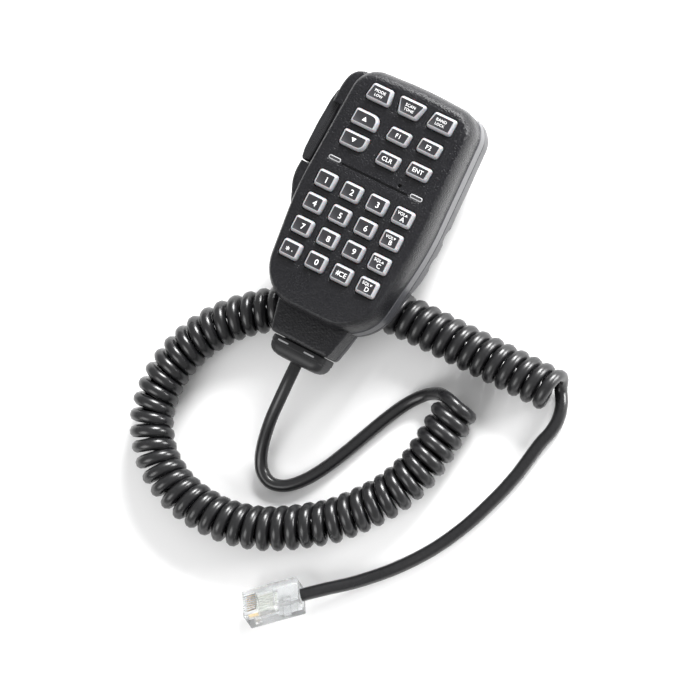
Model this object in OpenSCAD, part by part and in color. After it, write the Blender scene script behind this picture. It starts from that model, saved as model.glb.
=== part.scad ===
// Hand microphone with keypad, curled cord and modular plug.
// Frame: origin under the hanger stud on the surface it rests on, +Y towards the top of the case,
// +Z out of the key face, +X to the right of the keypad. Millimetres.

/* [Case] */
// Height of the key face above the surface
face_z = 38; // [37:0.5:40]
// Height of the joint between the two shells
joint_z = 19.5; // [19:0.5:21]
// Height of the flat back above the surface, which is the height of the hanger stud
back_z = 10; // [9:0.5:11]
// Underside of the tail end, above the curled cord
tail_z = 17.2; // [17:0.1:17.6]
// Wall of both shells
wall = 2; // [1.6:0.1:2.2]
// Thickness of the seal between the shells
seal_t = 0.6; // [0.4:0.1:0.8]
// Inset of the face's flat part from the side wall
shoulder = 2.7; // [2.5:0.1:3]

/* [Keys] */
// Width of a keypad key
key_w = 7.8; // [7:0.1:8.2]
// Height of a keypad key across the rows
key_h = 6.4; // [5.8:0.1:6.6]
// Distance between keypad columns
pitch_x = 10.7; // [10.5:0.1:11]
// Distance between keypad rows
pitch_y = 9.3; // [9.2:0.1:9.6]
// How far a key stands above the face
key_rise = 1.8; // [1.2:0.1:2.2]
// Gap between a key and its window
key_gap = 0.3; // [0.2:0.05:0.4]
// Flange above and below the foot of a key, which keeps it in the case
key_flange = 0.7; // [0.5:0.05:0.8]
// Y of the keypad's first row
row_y = -6; // [-7:0.5:-5]

/* [Push-to-talk] */
// Length of the push-to-talk bar
ptt_len = 30; // [28:0.5:31]
// Width of the bar across the case's thickness
ptt_width = 9.4; // [8:0.2:9.6]
// Farthest the bar stands out from the centre line
ptt_out = 32; // [31:0.5:33]
// Radius of the pin that the bar swings on
ptt_pin_r = 1; // [0.8:0.1:1.2]

/* [Cord] */
// Diameter of the cord
cord_d = 4.8; // [4.4:0.1:5]
// Outer diameter of the curl
curl_d = 16.8; // [16:0.2:17]
// Height of the cord's outlet above the surface
outlet_z = 21.5; // [20:0.5:22]

/* [Modular plug] */
// Length of the plug
plug_len = 21.5; // [21:0.1:22]
// Width of the plug
plug_w = 11.7; // [11.5:0.1:11.9]
// Thickness of the plug without its latch
plug_t = 8; // [7.6:0.1:8.2]
// How far the latch stands below the plug
latch_drop = 1.8; // [1.7:0.1:1.9]

/* [Hanger stud] */
// Radius of the stud's head
stud_r = 7.5; // [6:0.5:8]
// Thickness of the stud's head
stud_head = 3; // [2.5:0.5:4]
// Radius of the stud's neck
stud_neck = 4.5; // [3.5:0.5:5]

/* [Hidden] */
KEYS = ["key_function_left", "key_function_middle", "key_function_right", "key_up", "key_down",
  "key_f1", "key_f2", "key_clear", "key_enter",
  "key_1", "key_2", "key_3", "key_a", "key_4", "key_5", "key_6", "key_b",
  "key_7", "key_8", "key_9", "key_c", "key_star", "key_0", "key_hash", "key_d"];

eps = 0.01;
front_z = joint_z + seal_t / 2;
rear_z = joint_z - seal_t / 2;
inner_z = face_z - wall;
shoulder_z = face_z - 8;
light_y = 2.3;
light_x = 17;
sound_x = 9.5;
sound_y = 3.6;
neck_y = -63;
bush_y = -70;
board_z = 30;
board_t = 1.6;
board_top = board_z + board_t;
mat_top = 33.4;
key_foot = 34.6;
screw_spots = [[21.2, 26.5], [-21.2, 26.5], [22.5, -10.65], [-22.5, -10.65]];
board_screw_spots = [[1.5, 2.3], [-11.2, 2.3]];
pod_x = 30;
ptt_top = 27.5;
ptt_z = 26;
ptt_pin_x = -28.6;
ptt_pin_y = ptt_top - 3;
plug_yaw = 222;
plug_roll = 30;
plug_entry = [37, -144, 6.6];
latch_root = 2.2;
curl_r = curl_d / 2;

// Route of the cord from the bush to the curl
tail_case_route = [[0, -70, 21.5], [0, -76, 21], [-0.5, -84, 18.5], [-1.5, -92, 14], [-2, -100, 8.5],
  [-1, -107, 4.5], [2, -112, 2.7], [6.5, -113.5, 2.4], [12, -111.5, 2.4], [17.5, -106, 2.4],
  [22, -99, 2.4], [26, -91, 2.4], [30, -82, 2.4], [34.5, -72, 2.4], [39, -64, 2.6],
  [44, -58, 4.4], [50, -55, 9.5], [57.5, -54.5, 14.4]];
// Middle line of the curl, from the case's tail to the plug's tail
curl_route = [[57.5, -57, 8.4], [57, -70, 8.4], [55.5, -82, 8.4], [52, -92.5, 8.4], [47, -101, 8.4],
  [41.5, -108, 8.4], [35, -115, 8.4], [27.5, -120.5, 8.4], [20, -125.5, 8.4], [11, -130, 8.4],
  [0, -133, 8.4], [-11, -133.5, 8.4], [-21.5, -132, 8.4], [-30, -128.5, 8.4], [-36.5, -124, 8.4],
  [-42, -117.5, 8.4], [-45.5, -111, 8.4], [-47.3, -103, 8.4], [-47.5, -96, 8.4], [-46.5, -89, 8.4],
  [-44.5, -82.5, 8.4], [-41.5, -76, 8.4], [-37.5, -70, 8.4], [-32, -64, 8.4], [-26, -59, 8.4],
  [-18, -53, 8.4], [-8, -46, 8.4], [4, -40.5, 8.4], [16, -37.5, 8.4], [28, -36.6, 8.4],
  [45, -36.5, 8.4], [66, -36.5, 8.4], [88, -36.5, 8.4]];
// Route of the cord from the curl to the plug
tail_plug_route = [[90.5, -36.5, 2.4], [91.5, -44, 2.4], [89.5, -56, 2.4], [87, -70, 2.4],
  [83.5, -82, 2.4], [78.5, -95, 2.4], [71.5, -108, 2.4], [62.5, -120, 2.6], [52.5, -130.5, 4.2],
  [43.5, -138.3, 6], [37, -144, 6.6]];

// ---- Outline of the case ----
function arc(c, r, a0, a1, n) =
  [for (i = [0:n]) [c[0] + r * cos(a0 + (a1 - a0) * i / n), c[1] + r * sin(a0 + (a1 - a0) * i / n)]];
function tangent(c1, c2) =
  let (d = [c2[0] - c1[0], c2[1] - c1[1]])
  atan2(d[1], d[0]) - acos((c1[2] - c2[2]) / norm(d));
function wrap(a, low) = a < low ? wrap(a + 360, low) : a >= low + 360 ? wrap(a - 360, low) : a;
// Each circle is centre x, centre y, radius, and the steps of its arc; the outline runs round them all
case_circles = [[7, -36, 17, 9], [-93.4, -8, 120, 8], [15.5, 29.5, 9.7, 10], [0, -110.2, 150, 6],
  [-15.5, 29.5, 9.7, 10], [93.4, -8, 120, 8], [-7, -36, 17, 9]];
function case_outline(inset) =
  let (n = len(case_circles))
  [for (i = [0:n - 1])
    let (c = case_circles[i],
         a0 = tangent(case_circles[(i + n - 1) % n], c),
         a1 = wrap(tangent(c, case_circles[(i + 1) % n]), a0))
    each arc(c, c[2] - inset, a0, a1, c[3])];

module slab(z0, z1, inset) translate([0, 0, z0]) linear_extrude(z1 - z0) polygon(case_outline(inset));

module bar(x0, x1, y0, y1, z0, z1) translate([x0, y0, z0]) cube([x1 - x0, y1 - y0, z1 - z0]);

// A block whose ends are round in plan
module rounded(w, h, z0, z1, r) {
  translate([0, 0, z0]) linear_extrude(z1 - z0) polygon(concat(
    arc([w / 2 - r, h / 2 - r], r, 0, 90, 6), arc([-w / 2 + r, h / 2 - r], r, 90, 180, 6),
    arc([-w / 2 + r, -h / 2 + r], r, 180, 270, 6), arc([w / 2 - r, -h / 2 + r], r, 270, 360, 6)));
}

// ---- Keys ----
// A four-sided key: half widths at its top and bottom edge, half height, and the corner radius
function corner_at(p, q, s, r) =
  let (u = (p - q) / norm(p - q), v = (s - q) / norm(s - q),
       half = acos(u * v) / 2, reach = r / tan(half))
  [for (t = [0:0.25:1]) let (a = q + u * reach, b = q + v * reach)
    (1 - t) * (1 - t) * a + 2 * t * (1 - t) * q + t * t * b];
function rounded_shape(pts, radii) =
  let (n = len(pts))
  [for (i = [0:n - 1]) each corner_at(pts[(i + n - 1) % n], pts[i], pts[(i + 1) % n], radii[i])];
function quad(x0, x1, x2, x3, h) = [[x0, -h], [x1, -h], [x2, h], [x3, h]];
function grow(pts, gx, gy) = [for (p = pts) [p[0] + sign(p[0]) * gx, p[1] + sign(p[1]) * gy]];
small = [1.3, 1.3, 1.3, 1.3];
// Key centres, corner points and corner radii, in the order of KEYS
function key_spec(i) =
  i == 0 ? [[-12.3, 30], quad(-5.2, 5.0, 4.2, -4.2, 3.2), small] :
  i == 1 ? [[0.2, 30], quad(-4, 3.9, 5.6, -5.6, 3.3), small] :
  i == 2 ? [[12.9, 30], quad(-5.2, 5.0, 5.2, -4, 3.2), small] :
  i == 3 ? [[-13, 19.6], quad(-5.2, 5.2, 5.2, -5, 3), [0.9, 0.9, 3.4, 1.1]] :
  i == 4 ? [[-13.3, 11], quad(-5.2, 5.2, 5.2, -5.2, 3), [1.1, 3.4, 0.9, 0.9]] :
  i == 5 ? [[1, 19.2], quad(-4.6, 4.2, 4.6, -4, 2.7), small] :
  i == 6 ? [[13.2, 20.2], quad(-4.6, 4.2, 4.6, -4.2, 2.7), small] :
  i == 7 ? [[1.4, 9.9], quad(-4.6, 4.2, 4.6, -4, 2.7), small] :
  i == 8 ? [[13.6, 11], quad(-4.6, 4.2, 4.6, -4.2, 2.7), small] :
  [[((i - 9) % 4 - 1.5) * pitch_x, row_y - floor((i - 9) / 4) * pitch_y],
    quad(-key_w / 2, key_w / 2, key_w / 2, -key_w / 2, key_h / 2), small];

module key_plate(i, gx, gy, z0, z1) {
  s = key_spec(i);
  translate([s[0][0], s[0][1], z0])
    linear_extrude(z1 - z0) polygon(rounded_shape(grow(s[1], gx, gy), s[2]));
}

module key(i) color("silver") {
  key_plate(i, 0, key_flange, key_foot, inner_z - 0.3);
  key_plate(i, 0, 0, key_foot, face_z + 0.6);
  key_plate(i, -0.7, -0.7, face_z, face_z + key_rise);
}

// ---- Shells ----
module front_outside() {
  hull() {
    slab(front_z, shoulder_z, 0);
    slab(face_z - 2.4, face_z - 2.3, 0.8);
    slab(face_z - 0.1, face_z, shoulder);
  }
  translate([0, 0, front_z]) linear_extrude(31 - front_z)
    polygon([[-15.5, -48], [-14.5, -52], [-11.8, neck_y], [11.8, neck_y], [14.5, -52], [15.5, -48]]);
  pod(front_z, 33);
}

// The swelling on the left side that frames the push-to-talk bar
module pod(z0, z1) {
  translate([0, 0, z0]) linear_extrude(z1 - z0) polygon([[-22, 36.5], [-26.5, 35], [-28.3, 33],
    [-29.6, ptt_top + 1], [-30.4, -3.5], [-30.6, -7], [-30, -11], [-26, -20], [-22, -20]]);
}

module front_shell() color("#2b2b2e") {
  difference() {
    union() {
      difference() {
        front_outside();
        hull() {
          slab(front_z - 1, shoulder_z - 1, wall);
          slab(inner_z - 0.1, inner_z, shoulder + 0.2);
        }
        bar(-9.6, 9.6, neck_y + 3, -48, front_z - 1, 28);
        bar(-8.1, 8.1, neck_y - 1, neck_y + 3.2, front_z - 1, 26.6);
      }
      for (s = screw_spots) translate([s[0], s[1], front_z]) cylinder(r = 1.8, h = inner_z - front_z + 0.5);
      for (s = board_screw_spots) translate([s[0], s[1], board_top]) cylinder(r = 1.6, h = inner_z - board_top + 0.5);
    }
    for (i = [0:len(KEYS) - 1]) key_plate(i, key_gap, key_gap, inner_z - 1, face_z + 1);
    for (s = [-1, 1]) translate([s * light_x, light_y, 0]) rounded(5.3, 1.9, inner_z - 1, face_z + 1, 0.9);
    translate([sound_x, sound_y, inner_z - 1]) cylinder(r = 0.6, h = wall + 2);
    bar(-13.8, 13.8, 1.6, 2.1, face_z - 0.3, face_z + 1);
    for (s = screw_spots) translate([s[0], s[1], front_z - 1]) cylinder(r = 0.95, h = 9);
    for (s = board_screw_spots) translate([s[0], s[1], board_top - 1]) cylinder(r = 0.75, h = 4.4);
    // Pocket behind the push-to-talk bar, with an ear above and below its pin
    bar(-33, -26, -3.2, ptt_top + 0.5, ptt_z - ptt_width / 2 - 0.3, ptt_z + ptt_width / 2 + 0.3);
    bar(-33, -26, -3.2, ptt_pin_y - 3.2, ptt_z, 34);
    bar(-26.5, -23, 4.2, 10.2, ptt_z - 3.2, ptt_z + 3.2);
    translate([ptt_pin_x, ptt_pin_y, front_z - 1]) cylinder(r = ptt_pin_r, h = 13.4);
  }
}

// Everything under the sloping tail, which the rear shell is cut by
module below_tail(lift) {
  rotate([90, 0, 90]) translate([0, 0, -40]) linear_extrude(80) polygon([[-80, -1],
    [-80, tail_z + lift - 1.6], [-58, tail_z + lift - 1.6], [-52, tail_z + lift], [-32, tail_z + lift],
    [-18, back_z + lift], [-18, back_z + lift - 1], [-18, -1]]);
}

module rear_shell() color("#3a3a3e") {
  difference() {
    union() {
      hull() {
        slab(back_z + 3, rear_z, 0);
        slab(back_z, back_z + 0.1, 1.8);
      }
      translate([0, 0, tail_z - 1.6]) linear_extrude(rear_z - tail_z + 1.6)
        polygon([[-15.5, -48], [-14.5, -52], [-11.8, neck_y], [11.8, neck_y], [14.5, -52], [15.5, -48]]);
    }
    below_tail(0);
    difference() {
      slab(back_z + wall, rear_z + 1, wall);
      below_tail(wall);
    }
    bar(-8.1, 8.1, neck_y - 1, neck_y + 3.2, 17.4, rear_z + 1);
    bar(-4.2, 4.2, neck_y + 2, -49, tail_z + 0.4, rear_z + 1);
    // Finger hollows along both sides
    for (side = [-1, 1], y = [-4, -15.5])
      translate([side * 32.2, y, back_z - 1]) cylinder(r = 7, h = 7.5);
    for (s = screw_spots) translate([s[0], s[1], back_z - 1]) {
      cylinder(r = 1.2, h = 12);
      cylinder(r = 2.1, h = 3.2);
    }
    translate([0, 0, back_z - 1]) cylinder(r = 1.55, h = 5);
  }
}

module case_seal() color("black") {
  difference() {
    slab(rear_z, front_z, 0.5);
    slab(rear_z - 1, front_z + 1, 1.7);
    bar(-16, 16, -60, -48, rear_z - 1, front_z + 1);
  }
}

// ---- Fasteners ----
module screw(shank_r, shank_l, head_r, head_l) {
  difference() {
    union() {
      cylinder(r = head_r, h = head_l);
      cylinder(r = shank_r, h = head_l + shank_l);
    }
    for (a = [0, 90]) rotate([0, 0, a]) translate([-head_r * 0.6, -0.25, -eps]) cube([head_r * 1.2, 0.5, 0.7]);
  }
}

module case_screws() color("dimgray")
  for (s = screw_spots) translate([s[0], s[1], back_z + 0.6]) screw(0.9, 15, 1.9, 1.6);

module board_screws() color("dimgray")
  for (s = board_screw_spots) translate([s[0], s[1], board_z - 1.2]) screw(0.7, 5, 1.5, 1.2);

// ---- Push-to-talk ----
module ptt_bar() color("#333336") {
  difference() {
    translate([0, 0, ptt_z - ptt_width / 2]) linear_extrude(ptt_width) polygon([[-26.8, ptt_top],
      [-29, ptt_top], [-30.6, ptt_top - 1.5], [-31.4, ptt_top - 6], [-ptt_out, ptt_top - 16],
      [-ptt_out, ptt_top - 26], [-31.4, ptt_top - ptt_len + 0.8], [-30.8, ptt_top - ptt_len], [-27.8, ptt_top - ptt_len],
      [-26.8, ptt_top - 6.5]]);
    translate([ptt_pin_x, ptt_pin_y, ptt_z - ptt_width]) cylinder(r = ptt_pin_r + 0.05, h = 2 * ptt_width);
  }
}

module ptt_pin() color("silver")
  translate([ptt_pin_x, ptt_pin_y, front_z]) cylinder(r = ptt_pin_r, h = 32.2 - front_z);

module ptt_switch() color("black") {
  bar(-25.3, -20.4, 4.4, 10, ptt_z - 3, ptt_z + 3);
  translate([-25.3, 7.2, ptt_z]) rotate([0, -90, 0]) cylinder(r = 1.5, h = 1);
}

// ---- Inside ----
module key_mat(rows) color("#c8c8c8")
  for (r = rows) bar(r[0], r[1], r[2], r[3], board_top + 0.5, mat_top);

module key_mat_upper() key_mat([[-18.6, 18.6, 24, 33.2], [-18.9, 18.9, 6.8, 24]]);
module key_mat_lower() key_mat([[-20.2, 20.2, -39, -1.5]]);

module circuit_board() color("darkgreen") {
  difference() {
    union() {
      bar(-20.2, 20.2, -38, 22, board_z, board_top);
      bar(-14, 14, -42, -37.9, board_z, board_top);
      bar(-18.8, 18.8, 21, 33.4, board_z, board_top);
    }
    for (s = board_screw_spots) translate([s[0], s[1], board_z - 1]) cylinder(r = 1, h = board_t + 2);
  }
}

module key_domes() color("gold")
  for (i = [0:len(KEYS) - 1]) translate([key_spec(i)[0][0], key_spec(i)[0][1], board_top])
    cylinder(r = 2.2, h = 0.4);

module board_chips() color("black") {
  bar(-6, 6, -20, -8, board_z - 1.4, board_z);
  bar(4, 11, 8, 13, board_z - 1.2, board_z);
  for (x = [-14:4:14]) bar(x, x + 2, -30, -28.8, board_z - 0.8, board_z);
}

module light_window(side) color("gray")
  translate([side * light_x, light_y, 0]) {
    rounded(6.4, 2.8, inner_z - 1, inner_z, 1.2);
    rounded(5.1, 1.7, inner_z - 1, face_z - 0.1, 0.8);
  }
module light_window_left() light_window(-1);
module light_window_right() light_window(1);

module indicator_lights() color("white")
  for (s = [-1, 1]) bar(s * light_x - 1.2, s * light_x + 1.2, light_y - 0.7, light_y + 0.7, board_top, board_top + 1);

module microphone_capsule() color("silver")
  translate([sound_x, sound_y, board_top + 0.6]) cylinder(r = 2, h = 2.6);

module capsule_boot() color("black")
  translate([sound_x, sound_y, board_top + 0.6]) difference() {
    cylinder(r = 2.9, h = inner_z - board_top - 0.6);
    translate([0, 0, -1]) cylinder(r = 2, h = 3.6);
    cylinder(r = 0.6, h = 9);
  }

// ---- Hanger ----
module hanger_stud() color("silver") {
  difference() {
    union() {
      cylinder(r = stud_r, h = stud_head);
      cylinder(r = stud_neck, h = back_z);
    }
    translate([0, 0, -1]) cylinder(r = 1.6, h = back_z + 2);
    translate([0, 0, -1]) cylinder(r = 3.1, h = 3);
  }
}

module stud_screw() color("dimgray") translate([0, 0, 0.3]) screw(1.5, 12.5, 3, 1.6);

// ---- Cord outlet ----
module cord_bush() color("#1c1c1e") {
  difference() {
    union() {
      translate([0, neck_y - 0.3, outlet_z]) rotate([90, 0, 0]) rounded(22.4, 14.4, 0, -neck_y + 0, 3);
      translate([0, neck_y + 3, outlet_z]) rotate([90, 0, 0]) rounded(15.6, 7.6, 0, 3.6, 2);
    }
    bar(-20, 20, bush_y - 80, bush_y, 0, 50);
    bar(-20, 20, -66.2, -65.7, outlet_z + 6.2, 50);
    for (x = [-9.5, 4]) bar(x, x + 5.5, -67.2, -66.4, outlet_z + 6.4, 50);
    translate([0, neck_y + 5, outlet_z]) rotate([90, 0, 0]) cylinder(r = cord_d / 2 + 0.05, h = 20);
  }
}

module cord_inner_end() color("#151516")
  translate([0, -56, outlet_z]) rotate([90, 0, 0]) cylinder(r = cord_d / 2, h = -56 - bush_y);

module cord_clamp() color("silver")
  translate([0, -57.2, outlet_z]) rotate([90, 0, 0]) difference() {
    cylinder(r = 3.6, h = 2);
    translate([0, 0, -1]) cylinder(r = cord_d / 2 + 0.05, h = 4);
  }

module rod(a, b, r) {
  d = b - a;
  translate(a) rotate([0, acos(d[2] / norm(d)), atan2(d[1], d[0])]) cylinder(r = r, h = norm(d));
}

module inner_wires() color("firebrick")
  for (i = [-1.5:1:1.5]) rod([i * 0.9, -55.8, outlet_z], [i * 2.2, -41.6, board_z - 2], 0.35);

module cord_socket() color("ivory") bar(-6, 6, -41.5, -37, board_z - 3.4, board_z);

// ---- Cord ----
function spline(p, q, s, u, t) =
  0.5 * (2 * q + (s - p) * t + (2 * p - 5 * q + 4 * s - u) * t * t + (3 * q - p - 3 * s + u) * t * t * t);
function smooth_route(pts, steps) =
  let (n = len(pts))
  concat([for (i = [0:n - 2], k = [0:steps - 1])
    spline(pts[max(i - 1, 0)], pts[i], pts[i + 1], pts[min(i + 2, n - 1)], k / steps)], [pts[n - 1]]);
function unit(v) = v / norm(v);
function heading(pts, i) = unit(pts[min(i + 1, len(pts) - 1)] - pts[max(i - 1, 0)]);

// A round tube along a route
module tube(pts, r, sides) {
  n = len(pts);
  rings = [for (i = [0:n - 1])
    let (t = heading(pts, i), side = unit(cross(t, [0, 0, 1])), up = cross(side, t))
    for (k = [0:sides - 1]) pts[i] + r * (side * cos(360 * k / sides) + up * sin(360 * k / sides))];
  walls = [for (i = [0:n - 2], k = [0:sides - 1])
    [i * sides + k, (i + 1) * sides + k, (i + 1) * sides + (k + 1) % sides, i * sides + (k + 1) % sides]];
  polyhedron(rings, concat(walls, [[for (k = [0:sides - 1]) k]],
    [[for (k = [sides - 1:-1:0]) (n - 1) * sides + k]]));
}

module cord_tail_case() color("#151516") tube(smooth_route(tail_case_route, 2), cord_d / 2, 8);
module cord_curl() color("#151516") tube(smooth_route(curl_route, 2), curl_r, 10);
module cord_tail_plug() color("#151516") tube(smooth_route(tail_plug_route, 2), cord_d / 2, 8);

// ---- Modular plug, drawn along +X from the cord to the nose, then laid down ----
module laid_plug() translate(plug_entry) rotate([0, 0, plug_yaw]) rotate([plug_roll, 0, 0]) children();

module plug_body() color("whitesmoke", 0.5) laid_plug() difference() {
  translate([0, -plug_w / 2, -plug_t / 2]) cube([plug_len, plug_w, plug_t]);
  translate([-1, -3.6, -2.5]) cube([11, 7.2, 5]);
  translate([9, -4.4, -0.6]) cube([9, 8.8, 1.2]);
  for (i = [-3.5:1:3.5]) translate([plug_len - 5.2, i * 1.02 - 0.2, plug_t / 2 - 3.4]) cube([6, 0.4, 5]);
  // Clearance for the root of the latch
  translate([plug_len - latch_root - 2.6, -3.4, -plug_t / 2 - 1]) cube([2.8, 6.8, 2.2]);
}

module plug_latch() color("whitesmoke", 0.5) laid_plug() rotate([90, 0, 0]) translate([0, 0, -3]) {
  translate([plug_len - latch_root - 1.2, -plug_t / 2]) cylinder(r = 0.9, h = 6);
  linear_extrude(6) polygon([[plug_len - latch_root - 1.2, -plug_t / 2],
    [plug_len - latch_root - 2, -plug_t / 2 - 0.2], [3.5, -plug_t / 2 - latch_drop + 0.9],
    [3.5, -plug_t / 2 - latch_drop], [plug_len - latch_root - 6, -plug_t / 2 - 1.7],
    [plug_len - latch_root - 1.2, -plug_t / 2 - 0.9]]);
}

module plug_contacts() color("gold") laid_plug()
  for (i = [-3.5:1:3.5]) translate([plug_len - 5, i * 1.02 - 0.15, plug_t / 2 - 3.2]) cube([3.6, 0.3, 2.8]);

module plug_wires() color("orange") laid_plug()
  for (i = [-3.5:1:3.5]) translate([9.2, i * 1.02, 0]) rotate([0, 90, 0]) cylinder(r = 0.45, h = 8.6);

front_shell();
rear_shell();
case_seal();
case_screws();
board_screws();
ptt_bar();
ptt_pin();
ptt_switch();
key_mat_upper();
key_mat_lower();
circuit_board();
key_domes();
board_chips();
light_window_left();
light_window_right();
indicator_lights();
microphone_capsule();
capsule_boot();
hanger_stud();
stud_screw();
cord_bush();
cord_inner_end();
cord_clamp();
inner_wires();
cord_socket();
cord_tail_case();
cord_curl();
cord_tail_plug();
plug_body();
plug_latch();
plug_contacts();
plug_wires();
for (i = [0:len(KEYS) - 1])
  key(i);
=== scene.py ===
import math
import bpy
import bmesh
from mathutils import Matrix, Vector
from mathutils.geometry import tessellate_polygon


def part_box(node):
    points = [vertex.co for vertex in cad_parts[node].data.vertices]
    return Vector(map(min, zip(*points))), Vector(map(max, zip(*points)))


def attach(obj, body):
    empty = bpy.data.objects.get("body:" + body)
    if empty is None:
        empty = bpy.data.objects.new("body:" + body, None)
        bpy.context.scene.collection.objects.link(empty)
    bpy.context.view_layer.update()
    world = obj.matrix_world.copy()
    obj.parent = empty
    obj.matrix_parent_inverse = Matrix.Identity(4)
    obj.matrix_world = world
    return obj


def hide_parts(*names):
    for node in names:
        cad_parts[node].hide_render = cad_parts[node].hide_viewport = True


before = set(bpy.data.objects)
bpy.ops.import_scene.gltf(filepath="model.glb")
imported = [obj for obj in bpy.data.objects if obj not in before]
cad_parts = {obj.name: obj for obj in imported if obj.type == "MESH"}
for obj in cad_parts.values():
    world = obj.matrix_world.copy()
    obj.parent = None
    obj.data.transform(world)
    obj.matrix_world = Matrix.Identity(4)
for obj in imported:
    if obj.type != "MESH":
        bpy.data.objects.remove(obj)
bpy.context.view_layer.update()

mm = 0.001
print("frame loaded")

# Camera: tipped 17 degrees off the key face, and rolled so that the case leans to the right
cameraSet = {
    "aim": (19.0, -56.5, 32.2),   # mm, the point in the middle of the view
    "tip": 17.0,                  # degrees from straight above, towards +X
    "roll": 27.0,
    "distance": 1000.0,
    "lens": 144.0,
    "sensor": 36.0,
}


def addCamera(settings):
    tip, roll = math.radians(settings["tip"]), math.radians(settings["roll"])
    back = Vector((math.sin(tip), 0, math.cos(tip)))
    across = Vector((math.cos(tip), 0, -math.sin(tip)))
    along = Vector((0, 1, 0))
    right = across * math.cos(roll) + along * math.sin(roll)
    up = along * math.cos(roll) - across * math.sin(roll)
    data = bpy.data.cameras.new("camera")
    data.lens = settings["lens"]
    data.sensor_width = settings["sensor"]
    data.clip_end = 20
    camera = bpy.data.objects.new("camera", data)
    place = Matrix((right, up, back)).transposed().to_4x4()
    place.translation = (Vector(settings["aim"]) + back * settings["distance"]) * mm
    camera.matrix_world = place
    bpy.context.scene.collection.objects.link(camera)
    bpy.context.scene.camera = camera
    return right, up, back


viewRight, viewUp, viewBack = addCamera(cameraSet)
print("camera placed")


# Small tools
def nodeSocket(node, name, value):
    node.inputs[name].default_value = value


def link(tree, a, b):
    tree.links.new(a, b)


def addObject(name, mesh):
    piece = bpy.data.objects.new(name, mesh)
    bpy.context.scene.collection.objects.link(piece)
    return piece


def finishMesh(bm, name, materials, smoothAngle=35):
    bmesh.ops.remove_doubles(bm, verts=bm.verts, dist=0.002 * mm)
    bmesh.ops.recalc_face_normals(bm, faces=bm.faces)
    limit = math.radians(smoothAngle)
    for face in bm.faces:
        face.smooth = True
    for edge in bm.edges:
        edge.smooth = len(edge.link_faces) == 2 and edge.calc_face_angle(0) < limit
    mesh = bpy.data.meshes.new(name)
    bm.to_mesh(mesh)
    bm.free()
    for material in materials:
        mesh.materials.append(material)
    return addObject(name, mesh)


def arc(centre, radius, start, end, steps):
    turn = [math.radians(start + (end - start) * i / steps) for i in range(steps + 1)]
    return [(centre[0] + radius * math.cos(a), centre[1] + radius * math.sin(a)) for a in turn]


def ringAt(bm, points, z):
    return [bm.verts.new((x * mm, y * mm, z * mm)) for x, y in points]


def bridge(bm, low, high, material=0, closed=True):
    n = len(low)
    for i in range(n if closed else n - 1):
        j = (i + 1) % n
        face = bm.faces.new((low[i], low[j], high[j], high[i]))
        face.material_index = material


def loft(bm, rings, material=0, capLow=True, capHigh=True):
    for low, high in zip(rings, rings[1:]):
        bridge(bm, low, high, material)
    if capLow:
        bm.faces.new(list(reversed(rings[0]))).material_index = material
    if capHigh:
        bm.faces.new(rings[-1]).material_index = material


def fillWithHoles(bm, outer, holes, flip=False, material=0):
    loops = [outer] + holes
    flat = [vert for loop in loops for vert in loop]
    for tri in tessellate_polygon([[v.co for v in loop] for loop in loops]):
        corners = [flat[i] for i in tri]
        normal = (corners[1].co - corners[0].co).cross(corners[2].co - corners[0].co)
        if normal.length < 1e-16:
            continue
        if (normal.z < 0) != flip:
            corners.reverse()
        try:
            bm.faces.new(corners).material_index = material
        except ValueError:
            pass


# Materials
def newGroup(name, inputs, outputs):
    group = bpy.data.node_groups.new(name, "ShaderNodeTree")
    for label, kind, value in inputs:
        socket = group.interface.new_socket(name=label, in_out="INPUT", socket_type=kind)
        if value is not None:
            socket.default_value = value
    for label, kind in outputs:
        group.interface.new_socket(name=label, in_out="OUTPUT", socket_type=kind)
    return group, group.nodes.new("NodeGroupInput"), group.nodes.new("NodeGroupOutput")


def mathNode(tree, operation, a, b=None):
    node = tree.nodes.new("ShaderNodeMath")
    node.operation = operation
    for slot, value in enumerate((a, b)):
        if value is None:
            continue
        if isinstance(value, (int, float)):
            node.inputs[slot].default_value = value
        else:
            link(tree, value, node.inputs[slot])
    return node.outputs[0]


def noiseNode(tree, vector, scale, detail=2.0):
    node = tree.nodes.new("ShaderNodeTexNoise")
    link(tree, vector, node.inputs["Vector"])
    nodeSocket(node, "Detail", detail)
    if isinstance(scale, (int, float)):
        nodeSocket(node, "Scale", scale)
    else:
        link(tree, scale, node.inputs["Scale"])
    return node.outputs["Fac"]


def grainGroup():
    # Spark-eroded grain: rounded pits with a finer roughness in them
    tree, start, end = newGroup(
        "mouldedGrain",
        [("Vector", "NodeSocketVector", None), ("Grain", "NodeSocketFloat", 1500.0),
         ("Fineness", "NodeSocketFloat", 4200.0), ("Fine share", "NodeSocketFloat", 0.35)],
        [("Height", "NodeSocketFloat"), ("Mask", "NodeSocketFloat")])
    coarse = noiseNode(tree, start.outputs["Vector"], start.outputs["Grain"], 1.0)
    fine = noiseNode(tree, start.outputs["Vector"], start.outputs["Fineness"], 2.0)
    share = mathNode(tree, "MULTIPLY", fine, start.outputs["Fine share"])
    height = mathNode(tree, "ADD", coarse, share)
    link(tree, height, end.inputs["Height"])
    ramp = tree.nodes.new("ShaderNodeMapRange")
    link(tree, coarse, ramp.inputs["Value"])
    nodeSocket(ramp, "From Min", 0.35)
    nodeSocket(ramp, "From Max", 0.65)
    link(tree, ramp.outputs["Result"], end.inputs["Mask"])
    return tree


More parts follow.
